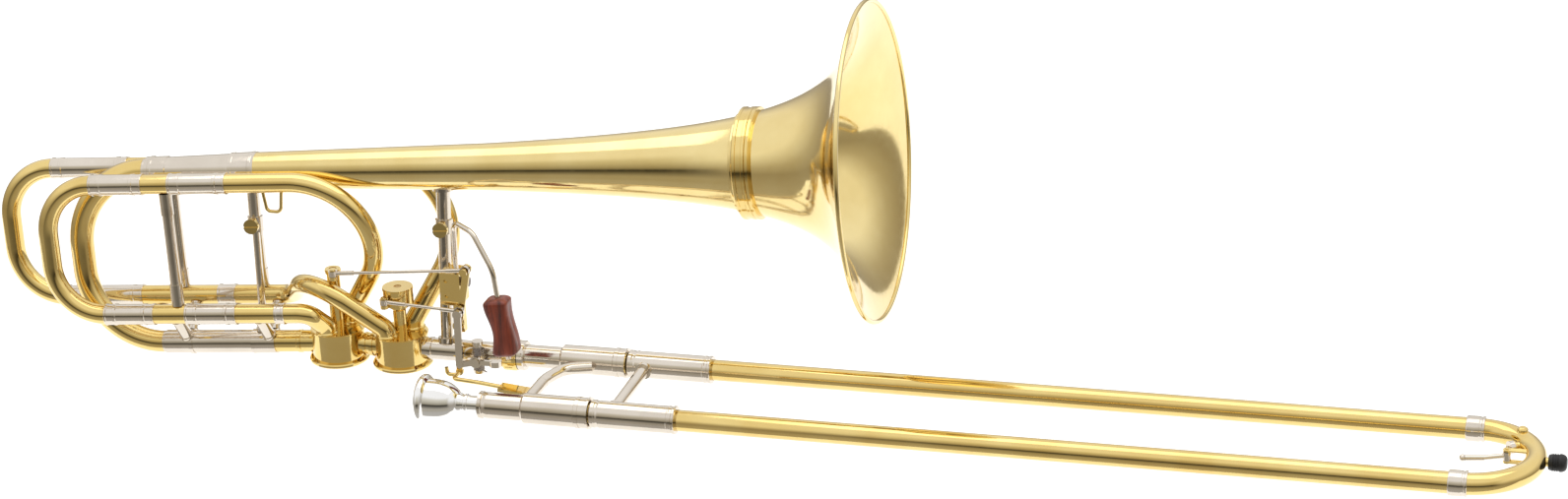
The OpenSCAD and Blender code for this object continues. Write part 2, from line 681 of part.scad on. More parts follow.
// a rod with a closed eye round the drum's pin and a loose eye round the lever's pin
module link_rod(drum_pin, lever_pin, loose, lift) {
    end = [lever_pin[0], drum_pin[1], lever_pin[2] + lift];
    u = unit(end - drum_pin);
    color("silver") difference() {
        union() {
            translate(drum_pin - [0, 0, 2.2]) cylinder(h = 4.4, r = eye_r);
            bar(drum_pin + u * 2.4, end - u * 2.6, 1.2);
            bar(drum_pin + u * 2.4, drum_pin + u * 17, 1.7);
            bar(end - u * 15, end - u * 2.6, 1.7);
            y_disc(end, drum_pin[1] - 1.5, 3, pin_r + loose + 1.3);
        }
        translate(drum_pin - [0, 0, 3]) cylinder(h = 6, r = pin_r + 0.06);
        y_disc(end, drum_pin[1] - 3, 6, pin_r + loose);
    }
}
module rod_a() { link_rod([pin_a[0], pin_a[1], rod_a_z], lever_a_ball, 0.8, 0.55); }
module rod_b() { link_rod([pin_b[0], pin_b[1], rod_b_z], lever_b_ball, 1.25, 0.95); }

module trigger_b_bracket() {
    post = [-30, -12.2, 0];
    color("silver") difference() {
        union() {
            translate([post[0], post[1], -11]) cylinder(h = 26, r = 3.2);
            for (z = [-11, 12.4]) translate([post[0], post[1], z]) cylinder(h = 2.6, r = 4.4);
            translate([post[0] - 3, -10.5, -3]) cube([6, 3, 6]);
            y_disc(lever_b_pivot, -21, 9, 2);
            y_disc(lever_b_pivot, -21.7, 1.3, 3.4);
        }
        rotate([0, 90, 0]) cylinder(h = 200, r = 8.3, center = true);
    }
}

module trigger_spring() {
    color("gray") for (side = [-1, 1]) for (i = [0:6]) translate([-30, -12.2, side * (3.1 + i * 1.05)])
        rotate_extrude() translate([3.75, 0]) circle(r = 0.55, $fn = 16);
}

// ---------- hand rest ----------
rest_block_top = [-1, -38, 63.5];
rest_block_low = [4, -38, 18];
module rest_rod() {
    u = unit(rest_block_low - rest_block_top);
    color("silver")
        run([rest_foot, rest_top, rest_block_top - u * 22, rest_block_low + u * 12], [12, 24], 2.1);
}
module rest_block() {
    h = norm(rest_block_low - rest_block_top);
    color("saddlebrown") along(rest_block_low, rest_block_top) difference() {
        union() {
            translate([-8, -8, 0.8]) cube([16, 16, h - 1.6]);
            translate([-9, -6.5, 2.2]) cube([18, 13, h - 4.4]);
            translate([-6.5, -9, 2.2]) cube([13, 18, h - 4.4]);
            for (x = [-6.5, 6.5]) for (y = [-6.5, 6.5])
                translate([x, y, 2.2]) cylinder(h = h - 4.4, r = 2.5);
        }
        translate([0, 0, -1]) cylinder(h = h + 2, r = 2);
    }
}
module rest_screw() {
    color("dimgray") translate([-45.1, 0, rest_screw_z]) rotate([0, 90, 0]) {
        cylinder(h = 3.4, r = 1.5);
        difference() {
            translate([0, 0, 3]) cylinder(h = 4.6, r = 3.6);
            for (a = [0:30:330]) rotate([0, 0, a]) translate([4, 0, 2]) cylinder(h = 7, r = 0.6, $fn = 24);
        }
    }
}

// ---------- inner hand slide ----------
module slide_joint() {
    color("silver") x_turned([[-20, 6.5], [-20, 7.12], [-0.2, 7.12], [0, 7.12], [0, 11.6], [4.2, 11.6],
        [5, 11], [5, 8.6], [35, 8.6], [35, 6.5]]);
}

module far_barrel() {
    color("silver") x_turned([[34, 7.36], [34, 9.4], [35.5, 10.8], [46, 10.9], [76.5, 10.9], [77, 11.4],
        [80, 11.4], [80, 11.1], [84.4, 11.1], [84.4, 11.6], [86, 11.6], [86, 8.7], [78, 8.7], [78, 7.36]]);
}

module near_barrel() {
    color("silver") x_turned([[0, 6.36], [0, 10.3], [2.6, 10.3], [3, 9.7], [4.2, 9.7], [4.6, 9.9],
        [33.6, 9.8], [35.4, 11.4], [75.6, 11.5], [76, 12], [79, 12], [79, 11.6], [85, 11.6], [85, 12.1],
        [86.6, 12.1], [86.6, 8.7], [78, 8.7], [78, 7.36], [42, 7.36], [42, 5.72]], [0, -slide_w, 0]);
}

module inner_tubes() {
    color("silver") for (q = [[35, 0], [42, -slide_w]])
        x_turned([[q[0], inner_in], [q[0], inner_r], [inner_end - stocking_len, inner_r],
            [inner_end - stocking_len, stocking_r], [inner_end, stocking_r], [inner_end, inner_in]],
            [0, q[1], 0]);
}

module inner_brace() {
    near = -slide_w + 10.6;
    color("silver") {
        run([[32, near, 0], [33, -40, 0], [41, -19, 0], [61, -12, 0]], [40, 18], 4.5);
        bar([32, near - 0.4, 0], [32, near + 3, 0], 6);
    }
}

// ---------- outer hand slide ----------
module outer_tubes() {
    color("goldenrod") for (y = [0, -slide_w])
        x_turned([[79.5, outer_in], [79.5, outer_r], [crook_x, outer_r], [crook_x, outer_in]],
            [0, y, 0]);
}

module outer_sleeves() {
    color("silver") for (y = [0, -slide_w]) translate([0, y, 0]) {
        x_turned([[87.2, outer_r - 0.05], [87.2, 10], [88, 10.6], [91, 10.6], [92, 10.2], [150.5, 10.2],
            [151, 10.6], [153, 10.6], [153, outer_r - 0.05]]);
        x_turned([[720, outer_r - 0.05], [720, 9.2], [721.5, 9.4], [729.6, 9.4], [730.2, 9], [731.4, 9],
            [732, 9.5], [733.5, 9.5], [733.5, outer_r - 0.05]]);
    }
}

module outer_brace() {
    color("silver") {
        bar([101.5, -slide_w + 9.8, 0], [101.5, -9.8, 0], 4.7);
        bar([101.5, -slide_w + 9.4, 0], [101.5, -slide_w + 13, 0], 6.4);
        bar([101.5, -13, 0], [101.5, -9.4, 0], 6.4);
    }
}

crook_r = slide_w / 2;
crook_mid = [crook_x, -slide_w / 2, 0];
key_pivot = [754, -41, 0];
cup_angle = 36.5;
module crook() {
    color("goldenrod") difference() {
        union() {
            translate(crook_mid) rotate([0, 0, -90]) rotate_extrude(angle = 180) translate([crook_r, 0])
                circle(r = outer_r);
            // end post, drain nipple, tone-ring button and the key's two lugs
            translate(crook_mid + [crook_r + outer_r - 1.5, 0, 0])
                rotate([0, 90, 0]) cylinder(h = 5, r = 3.4);
            translate(crook_mid) rotate([0, 0, cup_angle]) translate([crook_r - outer_r - 3.4, 0, 0])
                rotate([0, 90, 0]) cylinder(h = 5, r = 3.2);
            translate(crook_mid) rotate([0, 0, 45])
                translate([crook_r, 0, outer_r - 1]) cylinder(h = 3.4, r = 4);
            for (z = [-5.4, 3.6]) translate([key_pivot[0], key_pivot[1], z]) {
                cylinder(h = 1.8, r = 2.8);
                translate([0, -2.6, 0]) cube([14.4, 5.2, 1.8]);
            }
            translate([key_pivot[0], key_pivot[1], -6.2]) cylinder(h = 12.4, r = 1.2);
        }
        translate(crook_mid) rotate([0, 0, -90]) rotate_extrude(angle = 180) translate([crook_r, 0])
            circle(r = outer_in);
        translate(crook_mid) rotate([0, 0, cup_angle]) translate([crook_r - outer_r - 5, 0, 0])
            rotate([0, 90, 0]) cylinder(h = 7, r = 1.6);
    }
}

module bumper() {
    x0 = crook_mid[0] + crook_r + outer_r + 1;
    color("black") x_turned([[x0, 3.4], [x0, 5.4], [x0 + 2, 5.9], [x0 + 5, 6.3], [797 - 5, 6.6],
        [797 - 2, 5.8], [797, 3.6], [797, 0], [x0 + 2.5, 0], [x0 + 2.5, 3.4]], [0, crook_mid[1], 0]);
}

module water_key() {
    c = crook_mid + (crook_r - outer_r - 3.8) * [cos(cup_angle), sin(cup_angle), 0];
    tip = [724, -50, 0];
    color("silver") {
        difference() {
            union() {
                translate([key_pivot[0], key_pivot[1], -3.3]) cylinder(h = 6.6, r = 2.8);
                bar(key_pivot + [-2, -0.4, 0], [738, -47.4, 0], 1.9);
                bar(key_pivot + [-1, 1.6, 0], c + [-3.4, -2.6, 0], 1.9);
            }
            translate([key_pivot[0], key_pivot[1], -5]) cylinder(h = 10, r = 1.28);
        }
        bar([738.6, -47.2, 0], tip, 2.2);
        translate(tip) sphere(r = 2.6);
        translate(c) rotate([0, 0, cup_angle]) rotate([0, -90, 0]) cylinder(h = 3.4, r = 4.8);
    }
}

// ---------- mouthpiece ----------
module mouthpiece() {
    x0 = -47.5;
    x1 = x0 + mouthpiece_len;
    color("lightgray") x_turned([[x0 + 1.6, cup_in], [x0 + 0.3, cup_in + 1.6], [x0, cup_in + 2.9],
        [x0 + 0.5, rim_r - 1.4], [x0 + 2, rim_r - 0.3], [x0 + 3.6, rim_r], [x0 + 5.2, rim_r - 0.6],
        [x0 + 6.4, rim_r - 2], [x0 + 7, rim_r - 3], [x0 + 12, rim_r - 3.2], [x0 + 19, rim_r - 4.2],
        [x0 + 25, rim_r - 6.6], [x0 + 29, rim_r - 9.6], [x0 + 31, rim_r - 11.6], [x0 + 33.4, 7.2],
        [x0 + 35, 6.6], [x0 + 36.4, 7], [x0 + 38, 7], [x0 + 40, 6.3], [0, 6.3], [x1, 5.64], [x1, 4.9],
        [x1 - 20, 4.2], [x0 + 36, 3.9], [x0 + 30, 4.4], [x0 + 26, 6], [x0 + 20, 10], [x0 + 12, 12.8],
        [x0 + 5, 13.6]], [0, -slide_w, 0]);
}

bell_flare();
bell_ring_male();
bell_ring_female();
bell_stem();
upper_socket();
main_bow();
main_leg_upper();
main_leg_lower();
lower_socket();
valve_inlet();
valve_a_casing();
valve_a_cap();
valve_a_rotor();
valve_a_tower();
valve_a_hub();
valve_b_casing();
valve_b_cap();
valve_b_rotor();
valve_b_tower();
valve_b_hub();
valve_link();
neckpipe();
lock_nut();
loop_a_bend();
loop_a_sockets();
loop_a_bow();
loop_a_legs();
loop_b_bend();
loop_b_sockets();
loop_b_bow();
loop_b_legs();
loop_braces();
rear_brace();
rear_brace_screw();
main_brace();
main_brace_screw();
pull_hook();
loop_knobs();
trigger_block();
trigger_a();
rod_a();
trigger_b();
rod_b();
trigger_b_bracket();
trigger_spring();
rest_rod();
rest_block();
rest_screw();
slide_joint();
far_barrel();
near_barrel();
inner_tubes();
inner_brace();
outer_tubes();
outer_sleeves();
outer_brace();
crook();
bumper();
water_key();
mouthpiece();
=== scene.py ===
import json
import math
import bpy
import bmesh
from mathutils import Matrix, Vector


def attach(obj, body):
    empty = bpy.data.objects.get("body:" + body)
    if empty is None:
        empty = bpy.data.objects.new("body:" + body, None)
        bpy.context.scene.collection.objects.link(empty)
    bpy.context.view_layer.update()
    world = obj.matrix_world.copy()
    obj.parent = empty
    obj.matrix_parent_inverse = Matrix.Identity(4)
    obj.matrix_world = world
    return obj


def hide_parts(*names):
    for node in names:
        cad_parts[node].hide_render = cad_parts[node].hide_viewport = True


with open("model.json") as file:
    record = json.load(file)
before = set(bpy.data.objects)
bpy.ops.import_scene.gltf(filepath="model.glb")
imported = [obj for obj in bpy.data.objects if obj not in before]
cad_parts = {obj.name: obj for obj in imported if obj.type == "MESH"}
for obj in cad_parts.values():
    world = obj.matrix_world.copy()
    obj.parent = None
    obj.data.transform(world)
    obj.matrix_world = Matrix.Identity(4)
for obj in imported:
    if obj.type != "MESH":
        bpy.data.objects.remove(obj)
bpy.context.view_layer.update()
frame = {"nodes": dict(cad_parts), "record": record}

NODES = frame["nodes"]
MM = 0.001

# ---------- frames ----------
# the bell section's frame in the row frame, in millimetres
BELL = (Matrix.Translation((-153.1, 0, 0)) @ Matrix.Rotation(math.radians(-6), 4, "X")
        @ Matrix.Rotation(math.radians(2.5), 4, "Z") @ Matrix.Rotation(math.radians(-3.75), 4, "Y"))
IDENT = Matrix.Identity(4)
RIM_S = 438.3
AXIS_H = 137.5
SIDE = 26.0
TOP = 134.2
LOW = 30.2
VALVE_A_X = -148.7
VALVE_B_X = -96.6
SLIDE_W = 92
CROOK_R = 46.0


def bell_at(s, y=0.0, h=0.0):
    return BELL @ Matrix.Translation((s, y, h))


# ---------- materials ----------
def new_material(name):
    m = bpy.data.materials.new(name)
    m.use_nodes = True
    nt = m.node_tree
    nt.nodes.clear()
    out = nt.nodes.new("ShaderNodeOutputMaterial")
    bsdf = nt.nodes.new("ShaderNodeBsdfPrincipled")
    nt.links.new(bsdf.outputs["BSDF"], out.inputs["Surface"])
    return m, nt, bsdf


def noise(nt, coord, scale, detail=3.0, rough=0.5, stretch=None):
    src = coord.outputs["Object"]
    if stretch:
        mp = nt.nodes.new("ShaderNodeMapping")
        mp.inputs["Scale"].default_value = stretch
        nt.links.new(src, mp.inputs["Vector"])
        src = mp.outputs["Vector"]
    n = nt.nodes.new("ShaderNodeTexNoise")
    n.inputs["Scale"].default_value = scale
    n.inputs["Detail"].default_value = detail
    n.inputs["Roughness"].default_value = rough
    nt.links.new(src, n.inputs["Vector"])
    return n


def ramp(nt, src, stops):
    r = nt.nodes.new("ShaderNodeValToRGB")
    el = r.color_ramp.elements
    el[0].position, el[0].color = stops[0][0], (*stops[0][1], 1)
    el[1].position, el[1].color = stops[-1][0], (*stops[-1][1], 1)
    for p, c in stops[1:-1]:
        e = el.new(p)
        e.color = (*c, 1)
    nt.links.new(src, r.inputs["Fac"])
    return r


def to_range(nt, src, lo, hi, a=0.3, b=0.7):
    m = nt.nodes.new("ShaderNodeMapRange")
    m.inputs["From Min"].default_value = a
    m.inputs["From Max"].default_value = b
    m.inputs["To Min"].default_value = lo
    m.inputs["To Max"].default_value = hi
    nt.links.new(src, m.inputs["Value"])
    return m


def bump(nt, src, strength, distance, into):
    b = nt.nodes.new("ShaderNodeBump")
    b.inputs["Strength"].default_value = strength
    b.inputs["Distance"].default_value = distance
    nt.links.new(src, b.inputs["Height"])
    nt.links.new(b.outputs["Normal"], into)
    return b


def metal(name, light, dark, rough=(0.05, 0.11), coat=0.0, wobble=0.1, stain=None, drawn=(1, 1, 1)):
    """Polished metal: two tones in slow clouds, tarnish specks, and a roughness that follows fine wipe marks."""
    m, nt, b = new_material(name)
    co = nt.nodes.new("ShaderNodeTexCoord")
    slow = noise(nt, co, 14, 4, 0.6)
    tone = ramp(nt, slow.outputs["Fac"], [(0.35, dark), (0.65, light)])
    speck = noise(nt, co, 260, 5, 0.7)
    mask = to_range(nt, speck.outputs["Fac"], 0.0, 0.35, 0.66, 0.8)
    mix = nt.nodes.new("ShaderNodeMix")
    mix.data_type = "RGBA"
    nt.links.new(mask.outputs["Result"], mix.inputs["Factor"])
    nt.links.new(tone.outputs["Color"], mix.inputs["A"])
    mix.inputs["B"].default_value = (*(stain or [c * 0.62 for c in dark]), 1)
    nt.links.new(mix.outputs["Result"], b.inputs["Base Color"])
    b.inputs["Metallic"].default_value = 1.0
    wipe = noise(nt, co, 180, 4, 0.6, drawn)
    r = to_range(nt, wipe.outputs["Fac"], rough[0], rough[1])
    nt.links.new(r.outputs["Result"], b.inputs["Roughness"])
    if coat:
        b.inputs["Coat Weight"].default_value = coat
        b.inputs["Coat Roughness"].default_value = 0.03
    dent = noise(nt, co, 55, 2, 0.5)
    bump(nt, dent.outputs["Fac"], wobble, 0.0006, b.inputs["Normal"])
    return m


def wood_material(name):
    m, nt, b = new_material(name)
    co = nt.nodes.new("ShaderNodeTexCoord")
    mp = nt.nodes.new("ShaderNodeMapping")
    mp.inputs["Scale"].default_value = (160, 160, 11)
    mp.inputs["Rotation"].default_value = (0, math.radians(-6.3), 0)
    nt.links.new(co.outputs["Object"], mp.inputs["Vector"])
    grain = nt.nodes.new("ShaderNodeTexNoise")
    grain.inputs["Scale"].default_value = 1.0
    grain.inputs["Detail"].default_value = 8
    grain.inputs["Roughness"].default_value = 0.7
    grain.inputs["Distortion"].default_value = 0.6
    nt.links.new(mp.outputs["Vector"], grain.inputs["Vector"])
    tone = ramp(nt, grain.outputs["Fac"], [(0.3, (0.035, 0.006, 0.003)), (0.45, (0.16, 0.022, 0.008)),
                                           (0.58, (0.26, 0.04, 0.014)), (0.72, (0.38, 0.075, 0.03))])
    nt.links.new(tone.outputs["Color"], b.inputs["Base Color"])
    r = to_range(nt, grain.outputs["Fac"], 0.55, 0.32)
    nt.links.new(r.outputs["Result"], b.inputs["Roughness"])
    b.inputs["Coat Weight"].default_value = 0.25
    b.inputs["Coat Roughness"].default_value = 0.25
    bump(nt, grain.outputs["Fac"], 0.5, 0.0004, b.inputs["Normal"])
    return m


def rubber_material(name):
    m, nt, b = new_material(name)
    co = nt.nodes.new("ShaderNodeTexCoord")
    n = noise(nt, co, 900, 6, 0.7)
    tone = ramp(nt, n.outputs["Fac"], [(0.3, (0.006, 0.006, 0.007)), (0.7, (0.022, 0.021, 0.021))])
    nt.links.new(tone.outputs["Color"], b.inputs["Base Color"])
    big = noise(nt, co, 120, 3, 0.6)
    r = to_range(nt, big.outputs["Fac"], 0.42, 0.62)
    nt.links.new(r.outputs["Result"], b.inputs["Roughness"])
    bump(nt, n.outputs["Fac"], 0.35, 0.0003, b.inputs["Normal"])
    return m


MATS = {
    "brass": metal("lacquered_brass", (0.86, 0.66, 0.26), (0.78, 0.56, 0.19), (0.06, 0.13), 0.35, 0.10),
    "bell_brass": metal("bell_brass", (0.88, 0.71, 0.33), (0.81, 0.62, 0.25), (0.07, 0.14), 0.35, 0.08),
    "rotor_brass": metal("bearing_brass", (0.66, 0.44, 0.16), (0.52, 0.32, 0.10), (0.18, 0.32), 0.0, 0.15),
    "nickel": metal("nickel_silver", (0.76, 0.69, 0.60), (0.66, 0.59, 0.50), (0.06, 0.14), 0.2, 0.10,
                    (0.42, 0.36, 0.29)),
    "bright_tube": metal("chromed_tube", (0.80, 0.81, 0.83), (0.72, 0.73, 0.76), (0.03, 0.08), 0.0, 0.05),
    "silver_plate": metal("silver_plate", (0.95, 0.94, 0.925), (0.89, 0.88, 0.86), (0.03, 0.09), 0.0, 0.06,
                          (0.62, 0.58, 0.52)),
    "spring_steel": metal("spring_steel", (0.42, 0.38, 0.35), (0.28, 0.25, 0.23), (0.2, 0.35), 0.0, 0.2),
    "dark_steel": metal("blackened_steel", (0.20, 0.16, 0.14), (0.09, 0.075, 0.07), (0.2, 0.4), 0.0, 0.2),
    "wood": wood_material("oiled_wood"),
    "rubber": rubber_material("bumper_rubber"),
}
SLOT_OF = {r["node"]: r["material_slot"] for r in frame["record"]["subparts"]}


# ---------- mesh helpers, in millimetres ----------
def finish_mesh(name, verts, faces, body, slot, replaces=(), sharp=32.0):
    me = bpy.data.meshes.new(name)
    me.from_pydata([tuple(Vector(v) * MM) for v in verts], [], faces)
    bm = bmesh.new()
    bm.from_mesh(me)
    bmesh.ops.remove_doubles(bm, verts=bm.verts, dist=2e-7)
    bmesh.ops.recalc_face_normals(bm, faces=bm.faces)
    bm.to_mesh(me)
    bm.free()
    for p in me.polygons:
        p.use_smooth = True
    me.set_sharp_from_angle(angle=math.radians(sharp))
    o = bpy.data.objects.new(name, me)
    bpy.context.scene.collection.objects.link(o)
    o.data.materials.append(MATS[slot])
    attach(o, body)
    if replaces:
        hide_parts(*replaces)
    return o


def turned(outline, frame_m=IDENT, segs=64):
    """A body of revolution about the frame's +X from (x, r) points, closed round."""
    verts, faces = [], []
    n = len(outline)
    for k in range(segs):
        a = 2 * math.pi * k / segs
        for x, r in outline:
            verts.append(frame_m @ Vector((x, r * math.cos(a), r * math.sin(a))))
    for k in range(segs):
        for i in range(n):
            j = (i + 1) % n
            a, b = k * n + i, k * n + j
            c, d = ((k + 1) % segs) * n + j, ((k + 1) % segs) * n + i
            if outline[i][1] < 1e-6 and outline[j][1] < 1e-6:
                continue
            faces.append((a, b, c, d))
    return verts, faces


def path_points(corners, bends, arc_step=6.0):
    p = [Vector(c) for c in corners]
    pts = [p[0]]
    for i in range(1, len(p) - 1):
        u = (p[i] - p[i - 1]).normalized()
        w = (p[i + 1] - p[i]).normalized()
        turn = u.angle(w)
        r = bends[i - 1]
        if turn < 1e-3:
            continue
        start = p[i] - u * r * math.tan(turn / 2)
        n = (w - u * u.dot(w)).normalized()
        o = start + n * r
        steps = max(3, int(math.degrees(turn) / arc_step))
        for s in range(steps + 1):
            a = turn * s / steps
            pts.append(o - n * r * math.cos(a) + u * r * math.sin(a))
    pts.append(p[-1])
    clean = [pts[0]]
    for q in pts[1:]:
        if (q - clean[-1]).length > 0.05:
            clean.append(q)
    return clean


def swept(pts, radius, inner=None, segs=32):
    """A round tube along points; radius and inner may be functions of the fraction along."""
    def rad(f, t):
        return f(t) if callable(f) else f
    tang = []
    for i in range(len(pts)):
        a = pts[max(i - 1, 0)]
        b = pts[min(i + 1, len(pts) - 1)]
        tang.append((b - a).normalized())
    ref = Vector((0, 0, 1)) if abs(tang[0].z) < 0.9 else Vector((1, 0, 0))
    u = (ref - tang[0] * ref.dot(tang[0])).normalized()
    length = [0.0]
    for i in range(1, len(pts)):
        length.append(length[-1] + (pts[i] - pts[i - 1]).length)
    verts, faces = [], []
    layers = 2 if inner else 1
    for i, q in enumerate(pts):
        t = tang[i]
        u = (u - t * u.dot(t)).normalized()
        v = t.cross(u)
        f = length[i] / length[-1]
        for layer in range(layers):
            r = rad(radius, f) if layer == 0 else rad(inner, f)
            for k in range(segs):
                a = 2 * math.pi * k / segs
                verts.append(q + (u * math.cos(a) + v * math.sin(a)) * r)
    row = segs * layers
    for i in range(len(pts) - 1):
        for layer in range(layers):
            base = i * row + layer * segs
            for k in range(segs):
                j = (k + 1) % segs
                faces.append((base + k, base + j, base + row + j, base + row + k))
    for i in (0, len(pts) - 1):
        base = i * row
        if inner:
            for k in range(segs):
                j = (k + 1) % segs
                faces.append((base + k, base + j, base + segs + j, base + segs + k))
        else:
            faces.append(tuple(base + k for k in range(segs)))
    return verts, faces


def merged(*parts):
    verts, faces = [], []
    for v, f in parts:
        off = len(verts)
        verts += list(v)
        faces += [tuple(i + off for i in q) for q in f]
    return verts, faces


def frame_along(a, b):
    """A frame at a whose +X points to b."""
    x = (Vector(b) - Vector(a)).normalized()
    up = Vector((0, 0, 1)) if abs(x.z) < 0.95 else Vector((0, 1, 0))
    y = up.cross(x).normalized()
    z = x.cross(y)
    m = Matrix((x, y, z)).transposed().to_4x4()
    return Matrix.Translation(Vector(a)) @ m


# ---------- camera, floor and light ----------
def make_camera():
    az, el, roll = (math.radians(v) for v in (16.991, 22.492, -2.709))
    b = Vector((math.sin(az) * math.cos(el), -math.cos(az) * math.cos(el), math.sin(el)))
    r = Vector((math.cos(az), math.sin(az), 0))
    u = b.cross(r)
    right = r * math.cos(roll) + u * math.sin(roll)
    up = -r * math.sin(roll) + u * math.cos(roll)
    cam = bpy.data.cameras.new("photo_camera")
    cam.sensor_fit = "HORIZONTAL"
    cam.sensor_width = 36.0
    cam.lens = 36.0 * 4499 / 1592
    cam.clip_end = 50
    o = bpy.data.objects.new("photo_camera", cam)
    m = Matrix((right, up, b)).transposed().to_4x4()
    m.translation = Vector((1.1001, -2.9014, 1.3589))
    o.matrix_world = m
    bpy.context.scene.collection.objects.link(o)
    bpy.context.scene.camera = o


def make_world():
    w = bpy.data.worlds.new("white_studio")
    bpy.context.scene.world = w
    w.use_nodes = True
    nt = w.node_tree
    nt.nodes.clear()
    out = nt.nodes.new("ShaderNodeOutputWorld")
    co = nt.nodes.new("ShaderNodeTexCoord")
    sep = nt.nodes.new("ShaderNodeSeparateXYZ")
    nt.links.new(co.outputs["Generated"], sep.inputs["Vector"])

    def soft(src, a, b, lo, hi):
        m = nt.nodes.new("ShaderNodeMapRange")
        m.interpolation_type = "SMOOTHSTEP"
        for k, v in zip(("From Min", "From Max", "To Min", "To Max"), (a, b, lo, hi)):
            m.inputs[k].default_value = v
        nt.links.new(src, m.inputs["Value"])
        return m.outputs["Result"]

    def times(a, b):
        m = nt.nodes.new("ShaderNodeMath")
        m.operation = "MULTIPLY"
        nt.links.new(a, m.inputs[0])
        nt.links.new(b, m.inputs[1])
        return m.outputs[0]

    # the dark side of the studio, towards the camera and a little above the horizon
    z, y, x = sep.outputs["Z"], sep.outputs["Y"], sep.outputs["X"]
    dark = times(soft(z, -0.60, -0.48, 0, 1), soft(z, 0.42, 0.70, 1, 0))
    dark = times(dark, soft(y, -0.45, -0.15, 1, 0))
    dark = times(dark, times(soft(x, -0.62, -0.42, 0, 1), soft(x, 0.62, 0.85, 1, 0)))
    sky = ramp(nt, soft(z, -1.0, 1.0, 0, 1), [(0.0, (0.50, 0.48, 0.45)), (0.40, (0.36, 0.33, 0.28)),
                                              (0.55, (0.52, 0.49, 0.43)), (0.8, (0.98, 0.98, 0.98))])
    mix = nt.nodes.new("ShaderNodeMix")
    mix.data_type = "RGBA"
    nt.links.new(dark, mix.inputs["Factor"])
    nt.links.new(sky.outputs["Color"], mix.inputs["A"])
    black = ramp(nt, soft(z, -1.0, 1.0, 0, 1), [(0.25, (0.42, 0.39, 0.33)), (0.42, (0.13, 0.12, 0.10)), (0.50,
        (0.03, 0.028, 0.022)),
                                                (0.58, (0.34, 0.31, 0.24)), (0.80, (0.66, 0.63, 0.54))])
    nt.links.new(black.outputs["Color"], mix.inputs["B"])
    lit = nt.nodes.new("ShaderNodeBackground")
    lit.inputs["Strength"].default_value = 1.0
    nt.links.new(mix.outputs["Result"], lit.inputs["Color"])
    plain = nt.nodes.new("ShaderNodeBackground")
    plain.inputs["Color"].default_value = (1, 1, 1, 1)
    plain.inputs["Strength"].default_value = 1.0
    path = nt.nodes.new("ShaderNodeLightPath")
    sw = nt.nodes.new("ShaderNodeMixShader")
    nt.links.new(path.outputs["Is Camera Ray"], sw.inputs["Fac"])
    nt.links.new(lit.outputs["Background"], sw.inputs[1])
    nt.links.new(plain.outputs["Background"], sw.inputs[2])
    nt.links.new(sw.outputs["Shader"], out.inputs["Surface"])


def area_light(name, at, look, size, power):
    d = bpy.data.lights.new(name, "AREA")
    d.shape = "RECTANGLE"
    d.size, d.size_y = size
    d.energy = power
    o = bpy.data.objects.new(name, d)
    o.matrix_world = (Matrix.Translation(at)
                      @ (Vector(look) - Vector(at)).to_track_quat("-Z", "Y").to_matrix().to_4x4())
    bpy.context.scene.collection.objects.link(o)


def make_floor():
    me = bpy.data.meshes.new("floor")
    x0, x1, y0, y1, z = -1.6, 2.2, -0.28, 3.0, -0.34
    me.from_pydata([(x0, y0, z), (x1, y0, z), (x1, y1, z), (x0, y1, z)], [], [(0, 1, 2, 3)])
    o = bpy.data.objects.new("floor", me)
    bpy.context.scene.collection.objects.link(o)
    m, nt, b = new_material("pale_floor")
    co = nt.nodes.new("ShaderNodeTexCoord")
    n = noise(nt, co, 3, 3, 0.5)
    tone = ramp(nt, n.outputs["Fac"], [(0.3, (0.93, 0.93, 0.925)), (0.7, (0.96, 0.96, 0.955))])
    nt.links.new(tone.outputs["Color"], b.inputs["Base Color"])
    b.inputs["Roughness"].default_value = 0.8
    b.inputs["Emission Color"].default_value = (1, 1, 1, 1)
    b.inputs["Emission Strength"].default_value = 0.3
    me.materials.append(m)


make_camera()
make_world()
make_floor()
area_light("top_softbox", (0.2, 0.3, 2.2), (0.2, 0, 0), (3.0, 1.6), 14)
bpy.context.scene.view_settings.view_transform = "Standard"


# ---------- the bell section's pieces ----------
def bell_radius(x):
    def free(v):
        return 120.65 * ((v + 23) / 23) ** -0.72
    return free(x) if x < 300 else free(300) + (13.8 - free(300)) * (x - 300) / 184.3


def bell_skin(x0, x1, steps):
    d = [x0 + (x1 - x0) * (i / steps) ** 1.7 for i in range(steps + 1)]
    outer = [(RIM_S - x, bell_radius(x)) for x in d]
    inner = [(RIM_S - x + 0.56, bell_radius(x) - 0.6) for x in reversed(d)]
    return outer + inner


